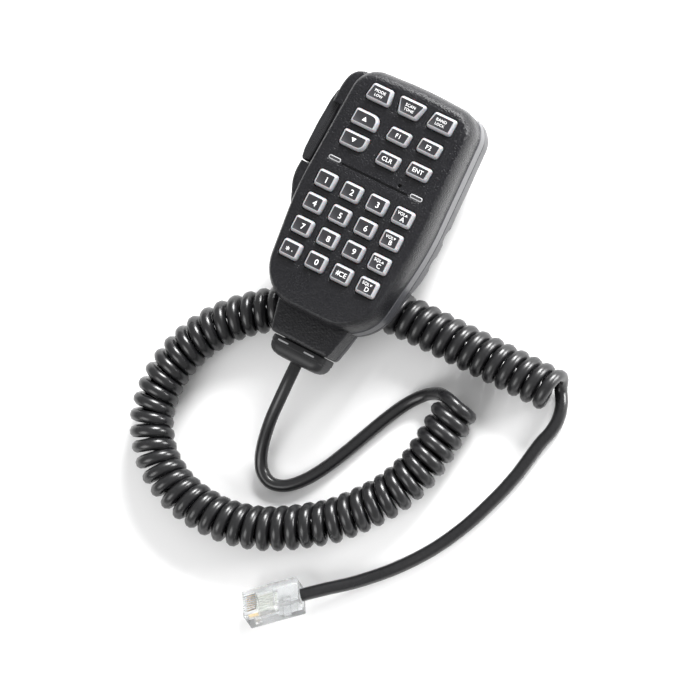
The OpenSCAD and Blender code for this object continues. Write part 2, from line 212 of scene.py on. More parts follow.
def handlingGroup():
    # Slow patches of roughness left by handling
    tree, start, end = newGroup(
        "handlingMarks",
        [("Vector", "NodeSocketVector", None), ("Patch", "NodeSocketFloat", 60.0),
         ("Low", "NodeSocketFloat", 0.4), ("High", "NodeSocketFloat", 0.55)],
        [("Roughness", "NodeSocketFloat"), ("Patches", "NodeSocketFloat")])
    patches = noiseNode(tree, start.outputs["Vector"], start.outputs["Patch"], 3.0)
    span = tree.nodes.new("ShaderNodeMapRange")
    link(tree, patches, span.inputs["Value"])
    nodeSocket(span, "From Min", 0.3)
    nodeSocket(span, "From Max", 0.7)
    link(tree, start.outputs["Low"], span.inputs["To Min"])
    link(tree, start.outputs["High"], span.inputs["To Max"])
    link(tree, span.outputs["Result"], end.inputs["Roughness"])
    link(tree, patches, end.inputs["Patches"])
    return tree


grain = grainGroup()
handling = handlingGroup()


def mouldedMaterial(name, settings):
    material = bpy.data.materials.new(name)
    material.use_nodes = True
    tree = material.node_tree
    shader = tree.nodes["Principled BSDF"]
    coords = tree.nodes.new("ShaderNodeTexCoord")
    grainNode = tree.nodes.new("ShaderNodeGroup")
    grainNode.node_tree = grain
    link(tree, coords.outputs["Object"], grainNode.inputs["Vector"])
    nodeSocket(grainNode, "Grain", settings.get("grain", 1500.0))
    nodeSocket(grainNode, "Fineness", settings.get("fineness", 4200.0))
    nodeSocket(grainNode, "Fine share", settings.get("fineShare", 0.35))
    marks = tree.nodes.new("ShaderNodeGroup")
    marks.node_tree = handling
    link(tree, coords.outputs["Object"], marks.inputs["Vector"])
    nodeSocket(marks, "Patch", settings.get("patch", 60.0))
    nodeSocket(marks, "Low", settings["rough"][0])
    nodeSocket(marks, "High", settings["rough"][1])
    mix = tree.nodes.new("ShaderNodeMix")
    mix.data_type = "RGBA"
    mix.inputs["A"].default_value = (*settings["dark"], 1)
    mix.inputs["B"].default_value = (*settings["light"], 1)
    link(tree, grainNode.outputs["Mask"], mix.inputs["Factor"])
    link(tree, mix.outputs["Result"], shader.inputs["Base Color"])
    link(tree, marks.outputs["Roughness"], shader.inputs["Roughness"])
    bump = tree.nodes.new("ShaderNodeBump")
    nodeSocket(bump, "Strength", settings.get("bump", 0.3))
    nodeSocket(bump, "Distance", settings.get("depth", 0.05) * mm)
    link(tree, grainNode.outputs["Height"], bump.inputs["Height"])
    link(tree, bump.outputs["Normal"], shader.inputs["Normal"])
    for socket, value in settings.get("set", {}).items():
        nodeSocket(shader, socket, value)
    return material


finishes = {
    "casePlastic": {"dark": (0.0035, 0.0035, 0.0045), "light": (0.009, 0.009, 0.011), "rough": (0.26, 0.36),
                    "grain": 1500.0, "fineness": 3600.0, "bump": 1.0, "depth": 0.24,
                    "set": {"Specular IOR Level": 0.3}},
    "rearPlastic": {"dark": (0.030, 0.030, 0.033), "light": (0.042, 0.042, 0.046), "rough": (0.34, 0.44),
                    "grain": 2600.0, "bump": 0.3, "depth": 0.05, "set": {"Specular IOR Level": 0.4}},
    # smooth lower side wall of the front cover: colour many times lighter than its grained face, a painted sheen of
    # the light falling on the wall
    "wallPaintedSheen": {"dark": (0.040, 0.040, 0.045), "light": (0.054, 0.054, 0.060), "rough": (0.28, 0.36),
                    "grain": 2800.0, "bump": 0.2, "depth": 0.03},
    "pttPlastic": {"dark": (0.010, 0.010, 0.011), "light": (0.017, 0.017, 0.019), "rough": (0.34, 0.44),
                   "grain": 2600.0, "bump": 0.3, "depth": 0.05, "set": {"Specular IOR Level": 0.35}},
    "keyRing": {"dark": (0.28, 0.28, 0.295), "light": (0.33, 0.33, 0.345), "rough": (0.28, 0.38),
                "grain": 2400.0, "bump": 0.15, "depth": 0.03, "set": {"Subsurface Weight": 0.25,
                "Subsurface Scale": 0.001, "Coat Weight": 0.2, "Coat Roughness": 0.2}},
    "keyLabel": {"dark": (0.015, 0.015, 0.017), "light": (0.022, 0.022, 0.025), "rough": (0.4, 0.48),
                 "grain": 3000.0, "bump": 0.15, "depth": 0.02, "set": {"Specular IOR Level": 0.3}},
    # pale grey: the rim of the light windows, and the bars on the bush slots, which are painted highlights of the
    # slot edges
    "paleRimAndSlotHighlight": {"dark": (0.30, 0.30, 0.31), "light": (0.38, 0.38, 0.39), "rough": (0.3, 0.4),
                 "grain": 2400.0, "bump": 0.1, "depth": 0.02},
    "legendPaint": {"dark": (0.72, 0.72, 0.73), "light": (0.80, 0.80, 0.80), "rough": (0.4, 0.5),
                    "grain": 3000.0, "bump": 0.1, "depth": 0.01},
    "cordPvc": {"dark": (0.0065, 0.0065, 0.007), "light": (0.0095, 0.0095, 0.0105), "rough": (0.24, 0.34),
                "grain": 900.0, "bump": 0.18, "depth": 0.05, "patch": 35.0},
    "bushRubber": {"dark": (0.007, 0.007, 0.008), "light": (0.013, 0.013, 0.014), "rough": (0.42, 0.52),
                   "grain": 2600.0, "bump": 0.3, "depth": 0.05, "set": {"Specular IOR Level": 0.35}},
    "windowLens": {"dark": (0.03, 0.03, 0.032), "light": (0.04, 0.04, 0.042), "rough": (0.22, 0.3),
                   "grain": 3000.0, "bump": 0.1, "depth": 0.02},
    "platedSteel": {"dark": (0.50, 0.50, 0.50), "light": (0.62, 0.62, 0.61), "rough": (0.22, 0.36),
                    "grain": 2400.0, "bump": 0.2, "depth": 0.02, "set": {"Metallic": 1.0}},
    "blackSteel": {"dark": (0.03, 0.03, 0.03), "light": (0.05, 0.05, 0.05), "rough": (0.34, 0.46),
                   "grain": 2400.0, "bump": 0.25, "depth": 0.03, "set": {"Metallic": 0.7}},
    "goldPlate": {"dark": (0.80, 0.56, 0.22), "light": (0.90, 0.66, 0.30), "rough": (0.18, 0.3),
                  "grain": 2400.0, "bump": 0.1, "depth": 0.02, "set": {"Metallic": 1.0}},
    "boardMask": {"dark": (0.010, 0.075, 0.030), "light": (0.015, 0.10, 0.042), "rough": (0.3, 0.4),
                  "grain": 700.0, "bump": 0.2, "depth": 0.03},
    "chipBlack": {"dark": (0.016, 0.016, 0.016), "light": (0.028, 0.028, 0.028), "rough": (0.5, 0.6),
                  "grain": 2400.0, "bump": 0.25, "depth": 0.03},
    "matSilicone": {"dark": (0.52, 0.52, 0.50), "light": (0.60, 0.60, 0.58), "rough": (0.5, 0.62),
                    "grain": 1800.0, "bump": 0.2, "depth": 0.04},
    "ledResin": {"dark": (0.75, 0.75, 0.70), "light": (0.85, 0.85, 0.80), "rough": (0.2, 0.3),
                 "grain": 2400.0, "bump": 0.1, "depth": 0.02},
    "socketNylon": {"dark": (0.62, 0.58, 0.47), "light": (0.70, 0.66, 0.55), "rough": (0.4, 0.5),
                    "grain": 2400.0, "bump": 0.2, "depth": 0.03},
    "wireRed": {"dark": (0.45, 0.05, 0.03), "light": (0.55, 0.07, 0.05), "rough": (0.3, 0.4), "bump": 0.1},
    "wirePale": {"dark": (0.66, 0.68, 0.62), "light": (0.76, 0.77, 0.72), "rough": (0.3, 0.4), "bump": 0.1},
}
paint = {name: mouldedMaterial(name, settings) for name, settings in finishes.items()}


def clearPlastic():
    material = bpy.data.materials.new("clearPlastic")
    material.use_nodes = True
    tree = material.node_tree
    shader = tree.nodes["Principled BSDF"]
    nodeSocket(shader, "Base Color", (0.96, 0.97, 0.975, 1))
    nodeSocket(shader, "Transmission Weight", 0.93)
    nodeSocket(shader, "IOR", 1.3)
    coords = tree.nodes.new("ShaderNodeTexCoord")
    marks = tree.nodes.new("ShaderNodeGroup")
    marks.node_tree = handling
    link(tree, coords.outputs["Object"], marks.inputs["Vector"])
    nodeSocket(marks, "Patch", 300.0)
    nodeSocket(marks, "Low", 0.05)
    nodeSocket(marks, "High", 0.16)
    link(tree, marks.outputs["Roughness"], shader.inputs["Roughness"])
    return material


paint["clearPlastic"] = clearPlastic()
print("materials made")

# Cord: one continuous lead, tail at the case, curl, and tail at the plug
cordSet = {
    "diameter": 4.8,
    "curlDiameter": 16.8,
    "pitch": 5.3,
    "turnSteps": 20,
    "tailSteps": 6,
    "lead": (1, 4, 7, 10, 13),   # points of the first and last turn that the tails run through
    "caseTail": [(0, -70, 21.5), (0, -76, 21), (-0.5, -84, 18.5), (-1.5, -92, 14), (-2, -100, 8.5),
                 (-1.2, -106.6, 4.6), (1.4, -111.3, 2.9), (6.2, -113.4, 2.4), (12, -111.5, 2.4), (17.5, -106, 2.4),
                 (22, -99, 2.4), (26, -91, 2.4), (30, -82, 2.4), (34.5, -72, 2.4), (39, -64, 2.6),
                 (44.2, -58.4, 4.6), (49.4, -56, 8.9), (54.2, -56, 12.8)],
    "curl": [(57.5, -57), (57, -70), (55.5, -82), (52, -92.5), (47, -101), (41.5, -108), (35, -115),
             (27.5, -120.5), (20, -125.5), (11, -130), (0, -133), (-11, -133.5), (-21.5, -132),
             (-30, -128.5), (-36.5, -124), (-42, -117.5), (-45.5, -111), (-47.3, -103), (-47.5, -96),
             (-46.5, -89), (-44.5, -82.5), (-41.5, -76), (-37.5, -70), (-32, -64), (-26, -59), (-18, -53),
             (-8, -46), (4, -40.5), (16, -37.5), (28, -36.6), (45, -36.5), (66, -36.5), (88, -36.5)],
    "curlHeight": 8.4,
    "plugTail": [(90.2, -39.6, 2.4), (91.5, -45.2, 2.4), (91, -50.6, 2.4), (89.5, -56, 2.4), (87, -70, 2.4),
                 (83.5, -82, 2.4), (78.5, -95, 2.4), (71.5, -108, 2.4), (62.5, -120, 2.6),
                 (52.5, -130.5, 4.2), (43.5, -138.3, 6), (37, -144, 6.6)],
}


def splinePoints(points, steps):
    points = [Vector(p) for p in points]
    last = len(points) - 1
    line = []
    for i in range(last):
        p, q = points[max(i - 1, 0)], points[i]
        s, u = points[i + 1], points[min(i + 2, last)]
        for k in range(steps):
            t = k / steps
            line.append(0.5 * (2 * q + (s - p) * t + (2 * p - 5 * q + 4 * s - u) * t * t
                               + (3 * q - p - 3 * s + u) * t * t * t))
    line.append(points[last])
    return line


def evenly(line, spacing):
    # The same line with its points a fixed distance apart
    kept, carried = [line[0].copy()], 0.0
    for a, b in zip(line, line[1:]):
        length = (b - a).length
        while length > 0 and carried + length >= spacing:
            a = a.lerp(b, (spacing - carried) / length)
            kept.append(a.copy())
            length = (b - a).length
            carried = 0.0
        carried += length
    return kept


def lineLength(line):
    return sum((b - a).length for a, b in zip(line, line[1:]))


def helixPoints(settings):
    middle = splinePoints([(x, y, settings["curlHeight"]) for x, y in settings["curl"]], 12)
    total = lineLength(middle)
    turns = round(total / settings["pitch"]) + 0.5
    steps = int(turns * settings["turnSteps"])
    middle = evenly(middle, total / steps)
    radius = (settings["curlDiameter"] - settings["diameter"]) / 2
    line = []
    for i, point in enumerate(middle):
        ahead = (middle[min(i + 1, len(middle) - 1)] - middle[max(i - 1, 0)]).normalized()
        side = ahead.cross(Vector((0, 0, 1))).normalized()
        angle = 2 * math.pi * turns * i / (len(middle) - 1)
        line.append(point + radius * (Vector((0, 0, 1)) * math.cos(angle) - side * math.sin(angle)))
    print("curl turns", turns)
    return line


def makeCord(settings):
    helix = helixPoints(settings)
    # the tails run into the first and last turns
    steps, lead = settings["tailSteps"], settings["lead"]
    near = splinePoints(settings["caseTail"] + [helix[k] for k in lead], steps)[:-steps]
    far = splinePoints([helix[-k - 1] for k in reversed(lead)] + settings["plugTail"], steps)[steps:]
    line = near + helix[lead[-2] + 1:-lead[-2] - 1] + far
    data = bpy.data.curves.new("curledCord", "CURVE")
    data.dimensions = "3D"
    spline = data.splines.new("POLY")
    spline.points.add(len(line) - 1)
    for point, place in zip(spline.points, line):
        point.co = (*(place * mm), 1)
    data.bevel_depth = settings["diameter"] / 2 * mm
    data.bevel_resolution = 3
    data.use_fill_caps = True
    spline.use_smooth = True
    data.materials.append(paint["cordPvc"])
    cord = bpy.data.objects.new("curledCord", data)
    bpy.context.scene.collection.objects.link(cord)
    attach(cord, "case")
    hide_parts("cord_tail_case", "cord_curl", "cord_tail_plug")
    length = lineLength(line) * mm
    print("cord length", round(length, 3))
    return cord, length


cord, cordLength = makeCord(cordSet)
print("cord made")


# Case outline, the same circles as the CAD: centre x, centre y, radius, steps of its arc
caseSet = {
    "circles": [(7, -36, 17, 12), (-93.4, -8, 120, 14), (15.5, 29.5, 9.7, 14), (0, -110.2, 150, 10),
                (-15.5, 29.5, 9.7, 14), (93.4, -8, 120, 14), (-7, -36, 17, 12)],
    "faceZ": 38.0,
    "wall": 2.0,
    "low": 19.85,
    "wallTop": 25.6,        # the smooth lower part of the side wall ends here in a small step
    "wallStep": 0.3,
    "smoothRings": 3,
    "shoulderZ": 30.0,
    "shoulder": 2.7,
    "topRound": 0.8,        # how much wider the shoulder is at the top end
    "shoulderSteps": 12,
    "neck": [(15.5, -46), (14.6, -52), (11.9, -63)],
    "neckTop": 31.0,
    "keyGap": 0.3,
    "lip": 0.35,
}


def tangentAngle(a, b):
    across = math.hypot(b[0] - a[0], b[1] - a[1])
    return math.degrees(math.atan2(b[1] - a[1], b[0] - a[0]) - math.acos((a[2] - b[2]) / across))


def topShift(y, inset):
    share = min(max((y - 12) / 20, 0), 1)
    return y - caseSet["topRound"] * inset * share * share * (3 - 2 * share)


def shoulderProfile():
    step = caseSet["wallStep"]
    rows = [(0, caseSet["low"]), (0, 21.5), (0, caseSet["wallTop"]), (step, caseSet["wallTop"] + step)]
    for k in range(caseSet["shoulderSteps"] + 1):
        turn = math.pi / 2 * k / caseSet["shoulderSteps"]
        rise = caseSet["faceZ"] - caseSet["shoulderZ"]
        inset = step + (caseSet["shoulder"] - step) * (1 - math.cos(turn))
        rows.append((inset, caseSet["shoulderZ"] + rise * math.sin(turn)))
    return rows


def caseOutline(inset):
    circles = caseSet["circles"]
    points = []
    for i, c in enumerate(circles):
        start = tangentAngle(circles[i - 1], c)
        end = tangentAngle(c, circles[(i + 1) % len(circles)])
        while end < start:
            end += 360
        while end >= start + 360:
            end -= 360
        points += arc(c[:2], c[2] - inset, start, end, c[3])
    return [(x, topShift(y, inset)) for x, y in points]


# Keys: centre, corner points, corner radii, legend
def quad(x0, x1, x2, x3, h):
    return [(x0, -h), (x1, -h), (x2, h), (x3, h)]


small = (1.3, 1.3, 1.3, 1.3)
keyShapes = {
    "key_function_left": (quad(-5.2, 5.0, 4.2, -4.2, 3.2), small),
    "key_function_middle": (quad(-4, 3.9, 5.6, -5.6, 3.3), small),
    "key_function_right": (quad(-5.2, 5.0, 5.2, -4, 3.2), small),
    "key_up": (quad(-5.2, 5.2, 5.2, -5, 3), (0.9, 0.9, 3.4, 1.1)),
    "key_down": (quad(-5.2, 5.2, 5.2, -5.2, 3), (1.1, 3.4, 0.9, 0.9)),
    "key_f1": (quad(-4.6, 4.2, 4.6, -4, 2.7), small),
    "key_f2": (quad(-4.6, 4.2, 4.6, -4.2, 2.7), small),
    "key_clear": (quad(-4.6, 4.2, 4.6, -4, 2.7), small),
    "key_enter": (quad(-4.6, 4.2, 4.6, -4.2, 2.7), small),
}
padShape = (quad(-3.9, 3.9, 3.9, -3.9, 3.2), small)
# Each legend line: text, size in mm, place across and up from the key's middle
legends = {
    "key_function_left": [("MODE", 1.1, 0, 0.75), ("LOW", 1.0, 0, -0.85)],
    "key_function_middle": [("SCAN", 1.1, 0, 0.75), ("TONE", 1.0, 0, -0.85)],
    "key_function_right": [("BAND", 1.1, 0, 0.75), ("LOCK", 1.0, 0, -0.85)],
    "key_f1": [("F1", 1.65, 0, 0)], "key_f2": [("F2", 1.65, 0, 0)],
    "key_clear": [("CLR", 1.65, 0, 0)], "key_enter": [("ENT", 1.65, 0, 0)],
    **{f"key_{digit}": [(str(digit), 2.2, 0.6, -0.1)] for digit in range(10)},
    "key_star": [("*", 2.5, -0.8, -0.2), (".", 2.2, 1.1, -0.5)],
    "key_hash": [("#", 1.9, -1.1, 0), ("CE", 1.8, 0.8, 0)],
    "key_a": [("VOL", 1.15, -0.65, 0.95), ("A", 1.75, 0.55, -0.85)],
    "key_b": [("VOL", 1.15, -0.65, 0.95), ("B", 1.75, 0.55, -0.85)],
    "key_c": [("SQL", 1.15, -0.65, 0.95), ("C", 1.75, 0.55, -0.85)],
    "key_d": [("SQL", 1.15, -0.65, 0.95), ("D", 1.75, 0.55, -0.85)],
}
# Arrow legends: half width, height, place, and 1 for up or -1 for down
arrows = {"key_up": (0.95, 1.6, 0, 0, 1), "key_down": (0.95, 1.6, 0, 0, -1), "key_a": (0.5, 0.8, 1.35, 0.95, 1),
          "key_b": (0.5, 0.8, 1.35, 0.95, -1), "key_c": (0.5, 0.8, 1.35, 0.95, 1),
          "key_d": (0.5, 0.8, 1.35, 0.95, -1)}
keySet = {
    # inset from the key's outline, and height, up its side and over its edge
    "side": [(0, 36.2), (0, 38.15), (0.1, 38.5), (0.32, 39.1), (0.52, 39.5), (0.74, 39.68), (0.98, 39.72)],
    "labelInset": 0.98,
    "labelSink": 0.07,
    "legendRise": 0.03,
}
keyNames = [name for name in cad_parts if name.startswith("key_") and name not in
            ("key_mat_upper", "key_mat_lower", "key_domes")]


def keyCentre(name):
    low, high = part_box(name)
    return ((low.x + high.x) / 2 / mm, (low.y + high.y) / 2 / mm)


def keyOutline(name, grow, steps=6):
    points, radii = keyShapes.get(name, padShape)
    centre = keyCentre(name)
    middleX = (min(p[0] for p in points) + max(p[0] for p in points)) / 2
    points = [Vector([c + (grow if c > 0 else -grow) for c in p]) for p in points]
    line = []
    for i, corner in enumerate(points):
        before, after = points[i - 1], points[(i + 1) % 4]
        u, v = (before - corner).normalized(), (after - corner).normalized()
        radius = radii[i] + grow if radii[i] + grow > 0.35 else 0.35
        reach = radius / math.tan(u.angle(v) / 2)
        a, b = corner + u * reach, corner + v * reach
        for k in range(steps + 1):
            t = k / steps
            p = (1 - t) * (1 - t) * a + 2 * t * (1 - t) * corner + t * t * b
            line.append((p.x + centre[0] - middleX, p.y + centre[1]))
    return line


def legendVerts(bm, text, size, place, z, material):
    data = bpy.data.curves.new("legend", "FONT")
    data.body = text
    data.size = size * 1.38 * mm
    data.align_x = "CENTER"
    data.align_y = "CENTER"
    data.offset = size * 0.012 * mm
    data.resolution_u = 3
    data.space_character = 1.06
    holder = bpy.data.objects.new("legend", data)
    bpy.context.scene.collection.objects.link(holder)
    bpy.context.view_layer.update()
    mesh = bpy.data.meshes.new_from_object(holder.evaluated_get(bpy.context.evaluated_depsgraph_get()))
    bpy.data.objects.remove(holder)
    lows = [min(v.co[k] for v in mesh.vertices) for k in (0, 1)]
    highs = [max(v.co[k] for v in mesh.vertices) for k in (0, 1)]
    shift = Vector((place[0] * mm - (lows[0] + highs[0]) / 2, place[1] * mm - (lows[1] + highs[1]) / 2, z * mm))
    verts = [bm.verts.new(v.co + shift) for v in mesh.vertices]
    for polygon in mesh.polygons:
        try:
            face = bm.faces.new([verts[i] for i in polygon.vertices])
        except ValueError:
            continue
        face.material_index = material
        if face.normal.z < 0:
            face.normal_flip()
    bpy.data.meshes.remove(mesh)


def makeKey(name):
    bm = bmesh.new()
    rings = [ringAt(bm, keyOutline(name, -inset), z) for inset, z in keySet["side"]]
    for low, high in zip(rings, rings[1:]):
        bridge(bm, low, high, 0)
    bm.faces.new(list(reversed(rings[0])))
    top = keySet["side"][-1][1]
    sunk = top - keySet["labelSink"]
    labelEdge = ringAt(bm, keyOutline(name, -keySet["labelInset"] - 0.06), sunk)
    bridge(bm, rings[-1], labelEdge, 1)
    bm.faces.new(labelEdge).material_index = 1
    finish = [paint["keyRing"], paint["keyLabel"], paint["legendPaint"]]
    piece = finishMesh(bm, name + "_cap", finish, 40)
    bm = bmesh.new()
    bm.from_mesh(piece.data)
    centre = keyCentre(name)
    for text, size, x, y in legends.get(name, []):
        legendVerts(bm, text, size, (centre[0] + x, centre[1] + y), sunk + keySet["legendRise"], 2)
    if name in arrows:
        half, height, x, y, way = arrows[name]
        tip = [(centre[0] + x - half, centre[1] + y - way * height / 2),
               (centre[0] + x + half, centre[1] + y - way * height / 2),
               (centre[0] + x, centre[1] + y + way * height / 2)]
        face = bm.faces.new(ringAt(bm, tip, sunk + keySet["legendRise"]))
        face.material_index = 2
        face.normal_update()
        if face.normal.z < 0:
            face.normal_flip()
    bm.to_mesh(piece.data)
    bm.free()
    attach(piece, name + "_body")
    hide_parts(name)
    return piece


for keyName in keyNames:
    makeKey(keyName)
print("keys made", len(keyNames))


# Front shell
windowSet = {"lightX": 17.0, "lightY": 2.3, "lightHalf": (2.65, 0.95), "sound": (9.5, 3.6), "soundR": 0.6,
             "grooveX": 13.6, "grooveY": (1.5, 2.1), "grooveDepth": 0.6}


def roundedBox(x, y, halfX, halfY, radius, steps=5):
    return (arc((x + halfX - radius, y + halfY - radius), radius, 0, 90, steps)
            + arc((x - halfX + radius, y + halfY - radius), radius, 90, 180, steps)
            + arc((x - halfX + radius, y - halfY + radius), radius, 180, 270, steps)
            + arc((x + halfX - radius, y - halfY + radius), radius, 270, 360, steps))


def insetLoop(points, amount):
    # Moves each point of a counter-clockwise loop outwards by amount
    out = []
    n = len(points)
    for i in range(n):
        a, b = Vector(points[i - 1]), Vector(points[(i + 1) % n])
        ahead = (b - a).normalized()
        out.append((points[i][0] + ahead.y * amount, points[i][1] - ahead.x * amount))
    return out


def faceOpenings():
    gap = caseSet["keyGap"]
    loops = [keyOutline(name, gap, 5) for name in keyNames]
    for side in (-1, 1):
        loops.append(roundedBox(side * windowSet["lightX"], windowSet["lightY"], *windowSet["lightHalf"], 0.9))
    loops.append(arc(windowSet["sound"], windowSet["soundR"], 0, 345, 23))
    return loops


def frontBody():
    bm = bmesh.new()
    faceZ, wall = caseSet["faceZ"], caseSet["wall"]
    outer = [ringAt(bm, caseOutline(inset), z) for inset, z in shoulderProfile()]
    # the rings of the smooth lower wall take the lighter wall colour, a painted sheen
    for i, (low, high) in enumerate(zip(outer, outer[1:])):
        bridge(bm, low, high, 1 if i < caseSet["smoothRings"] else 0)
    inner = [ringAt(bm, caseOutline(inset + wall), z) for inset, z in
             [(0, caseSet["low"]), (0, 28.0), (0.2, 32.5), (0.9, faceZ - wall)]]
    for low, high in zip(inner, inner[1:]):
        bridge(bm, high, low)
    bridge(bm, inner[0], outer[0])
    tops, bottoms = [], []
    for loop in faceOpenings():
        lip = caseSet["lip"]
        steps = [(lip, faceZ), (lip * 0.62, faceZ - 0.03), (lip * 0.29, faceZ - 0.11), (0.07 * lip, faceZ - 0.24),
                 (0, faceZ - 0.4), (0, faceZ - wall)]
        rings = [ringAt(bm, insetLoop(loop, grow), z) for grow, z in steps]
        for high, low in zip(rings, rings[1:]):
            bridge(bm, high, low)
        tops.append(rings[0])
        bottoms.append(rings[-1])
    x, (y0, y1) = windowSet["grooveX"], windowSet["grooveY"]
    groove = [(-x, y0), (x, y0), (x, y1), (-x, y1)]
    high = ringAt(bm, insetLoop(groove, 0.1), faceZ)
    low = ringAt(bm, groove, faceZ - windowSet["grooveDepth"])
    bridge(bm, high, low)
    bm.faces.new(low)
    fillWithHoles(bm, outer[-1], tops + [high])
    fillWithHoles(bm, inner[-1], bottoms, flip=True)
    return finishMesh(bm, "front_cover", [paint["casePlastic"], paint["wallPaintedSheen"]], 32)


def roundedPrism(name, points, z0, z1, edge, materials, steps=3, squareFoot=False):
    # A prism whose top edge is rounded, and its bottom edge too unless it has a square foot
    bm = bmesh.new()
    rings = []
    low = [(edge * (1 - math.sin(math.pi / 2 * k / steps)), edge * (1 - math.cos(math.pi / 2 * k / steps)))
           for k in range(steps + 1)]
    for inset, rise in [(0, 0)] if squareFoot else low:
        rings.append(ringAt(bm, insetLoop(points, -inset), z0 + rise))
    for inset, rise in reversed(low):
        rings.append(ringAt(bm, insetLoop(points, -inset), z1 - rise))
    loft(bm, rings)
    return finishMesh(bm, name, materials, 32)


def softCorners(points, radius, steps=5):
    # Rounds the corners of a counter-clockwise outline
    line = []
    n = len(points)
    for i in range(n):
        corner = Vector(points[i])
        before, after = Vector(points[i - 1]), Vector(points[(i + 1) % n])
        u, v = before - corner, after - corner
        reach = min(radius, u.length * 0.45, v.length * 0.45)
        a, b = corner + u.normalized() * reach, corner + v.normalized() * reach
        for k in range(steps + 1):
            t = k / steps
            p = (1 - t) * (1 - t) * a + 2 * t * (1 - t) * corner + t * t * b
            line.append((p.x, p.y))
    return line


def combine(target, tool, operation):
    modifier = target.modifiers.new("cut", "BOOLEAN")
    modifier.operation = operation
    modifier.solver = "EXACT"
    modifier.object = tool
    mesh = bpy.data.meshes.new_from_object(target.evaluated_get(bpy.context.evaluated_depsgraph_get()))
    target.modifiers.clear()
    target.data = mesh
    bpy.data.objects.remove(tool)


def block(name, x0, x1, y0, y1, z0, z1):
    bm = bmesh.new()
    corners = [(x0, y0), (x1, y0), (x1, y1), (x0, y1)]
    loft(bm, [ringAt(bm, corners, z0), ringAt(bm, corners, z1)])
    return finishMesh(bm, name, [paint["casePlastic"]])


def recreased(piece, angle=32):
    bm = bmesh.new()
    bm.from_mesh(piece.data)
    bmesh.ops.remove_doubles(bm, verts=bm.verts, dist=0.003 * mm)
    bmesh.ops.dissolve_degenerate(bm, edges=bm.edges, dist=0.002 * mm)
    limit = math.radians(angle)
    for face in bm.faces:
        face.smooth = True
    for edge in bm.edges:
        edge.smooth = len(edge.link_faces) == 2 and edge.calc_face_angle(0) < limit
    bm.to_mesh(piece.data)
    bm.free()


podSet = {
    "outline": [(-22, -20), (-22, 36.5), (-26.5, 35), (-28.6, 32.5), (-29.6, 28.5), (-30.4, -3.5), (-30.6, -7),
                (-30, -11), (-26, -20)],
    "top": 33.0,
    "edge": 1.6,
    # round the bar, and the deeper part under the ear of its pin
    "pockets": [(-34, -26, -2.95, 21.3, 21, 34), (-34, -26, 21.2, 28, 21, 31)],
}


def frontShell():
    body = frontBody()
    low = caseSet["low"]
    pod = roundedPrism("pod", softCorners(podSet["outline"], 2.2), low, podSet["top"], podSet["edge"],
                       [paint["casePlastic"]], 4, True)
    outline = [(-x, y) for x, y in caseSet["neck"]] + caseSet["neck"][::-1]
    neck = roundedPrism("neck", softCorners(outline, 1.5), low, caseSet["neckTop"], 1.5, [paint["casePlastic"]], 4,
                        True)
    combine(body, pod, "UNION")
    combine(body, neck, "UNION")
    for i, pocket in enumerate(podSet["pockets"]):
        combine(body, block(f"pocket{i}", *pocket), "DIFFERENCE")
    recreased(body)
    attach(body, "case")
    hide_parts("front_shell")
    return body


frontShell()
print("front shell made")

# Light windows: a dark lens in a pale rim
def lightWindow(side):
    bm = bmesh.new()
    x, y = side * windowSet["lightX"], windowSet["lightY"]
    # half width, half height, corner radius, height, finish of the band up to the next ring
    rows = [(3.2, 1.4, 1.2, 35.0, 0), (3.2, 1.4, 1.2, 36.0, 0), (2.5, 0.8, 0.75, 36.0, 0),
            (2.5, 0.8, 0.75, 37.85, 0), (2.4, 0.7, 0.65, 37.93, 0), (2.15, 0.45, 0.4, 37.93, 1), (2.05, 0.36, 0.32, 37.8, 1)]
    rings = [(ringAt(bm, roundedBox(x, y, *row[:3]), row[3]), row[4]) for row in rows]
    for (low, finish), (high, _) in zip(rings, rings[1:]):
        bridge(bm, low, high, finish)
    bm.faces.new(list(reversed(rings[0][0])))
    bm.faces.new(rings[-1][0]).material_index = 1
    piece = finishMesh(bm, "lens_left" if side < 0 else "lens_right", [paint["paleRimAndSlotHighlight"], paint["windowLens"]], 40)
    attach(piece, "case")
    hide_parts("light_window_left" if side < 0 else "light_window_right")


for side in (-1, 1):
    lightWindow(side)
print("light windows made")

# Push-to-talk bar
pttSet = {
    "outline": [(-26.8, 27.4), (-29, 27.4), (-30.6, 26), (-31.4, 21.5), (-31.95, 11.5), (-31.95, 1.5),
                (-31.4, -1.7), (-30.8, -2.4), (-27.8, -2.4), (-26.85, 21)],
    "low": 21.35,
    "high": 30.65,
    "edge": 0.9,
}
bar = roundedPrism("push_to_talk", softCorners(pttSet["outline"], 0.9), pttSet["low"], pttSet["high"],
                   pttSet["edge"], [paint["pttPlastic"]], 4)
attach(bar, "ptt")
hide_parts("ptt_bar")
print("push-to-talk made")

# Round pieces, cutters and pieces set out in rows
def lathe(bm, profile, steps=40, centre=(0, 0), hollow=False):
    rings = [ringAt(bm, arc(centre, r, 0, 360 - 360 / steps, steps - 1), z) for r, z in profile]
    if hollow:
        rings.append(rings[0])
    loft(bm, rings, 0, not hollow, not hollow)


def turned(name, profile, material, steps=40, hollow=False):
    bm = bmesh.new()
    lathe(bm, profile, steps, hollow=hollow)
    return finishMesh(bm, name, [paint[material]], 32)


